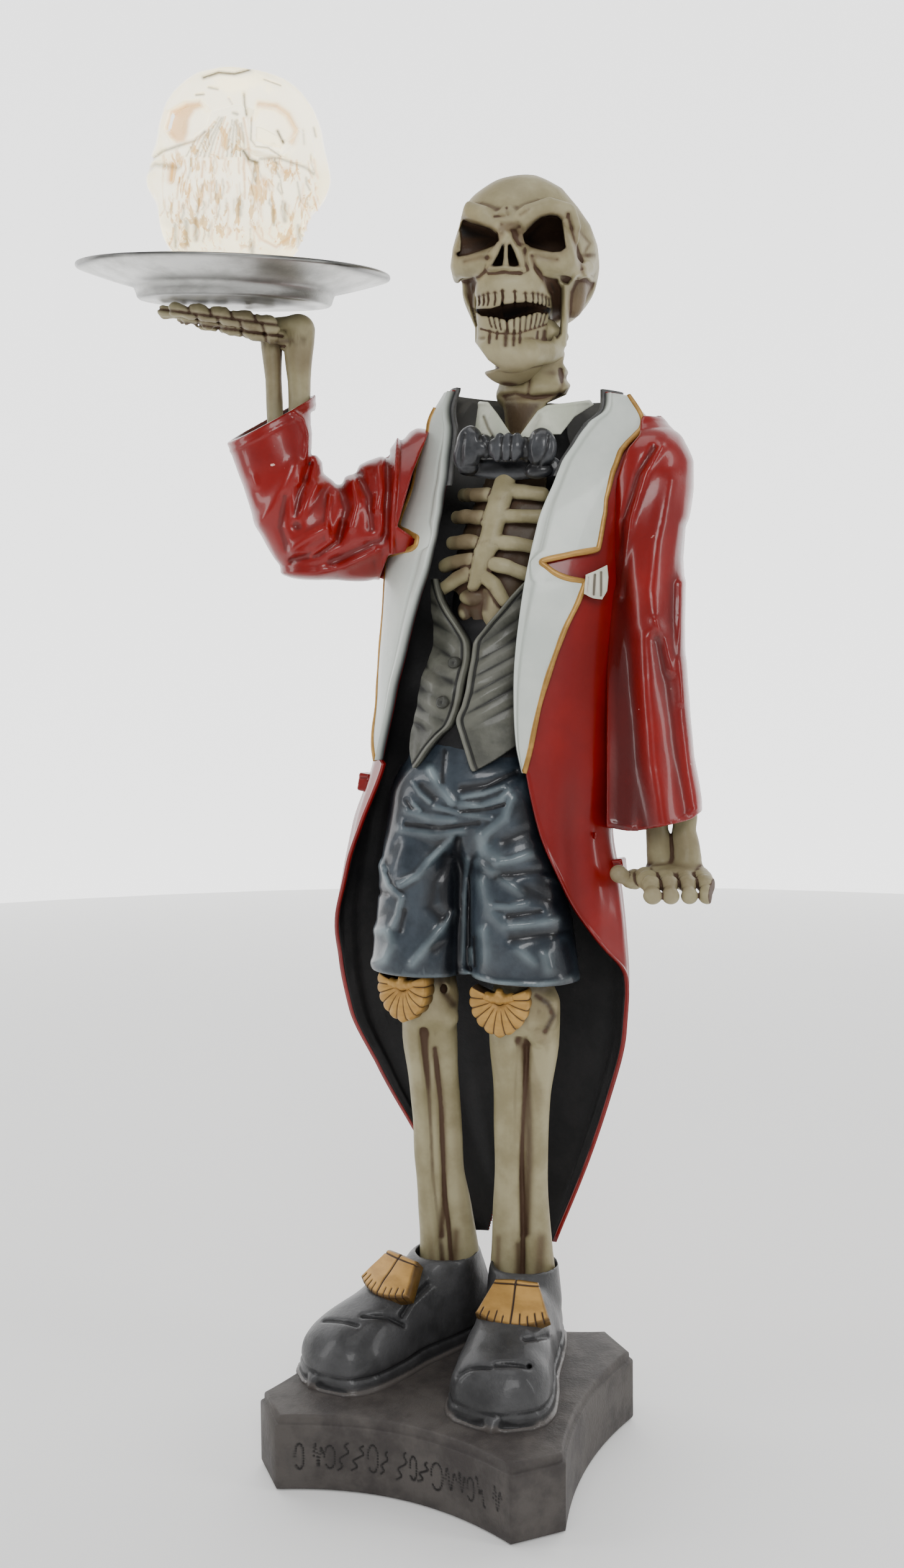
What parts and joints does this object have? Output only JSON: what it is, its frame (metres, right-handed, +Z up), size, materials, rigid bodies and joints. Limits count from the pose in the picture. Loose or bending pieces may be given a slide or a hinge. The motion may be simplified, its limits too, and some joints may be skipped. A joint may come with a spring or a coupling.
{
  "type": "skeleton butler statue",
  "caption": "Standing skeleton in a red tail-coat and shorts on a plinth, holding a round silver tray with a clear skull in one raised hand.",
  "frame": {"origin": "middle of the plinth's underside", "axes": "+Z up, the figure faces -Y, its left hand on +X"},
  "size_m": [0.4543, 0.2634, 0.9798],
  "materials": {
    "painted_resin": "cast resin in hand-painted colours, gloss red on the coat, satin bone, dark grey plinth, worn and dusty",
    "tray_silver": "silver, softly brushed, a little dull",
    "clear_resin": "clear cast, rippled, lit warm from inside"
  },
  "bodies": {
    "root": {"butler_figure": "painted_resin", "serving_tray": "tray_silver", "clear_skull": "clear_resin"}
  },
  "joints": []
}
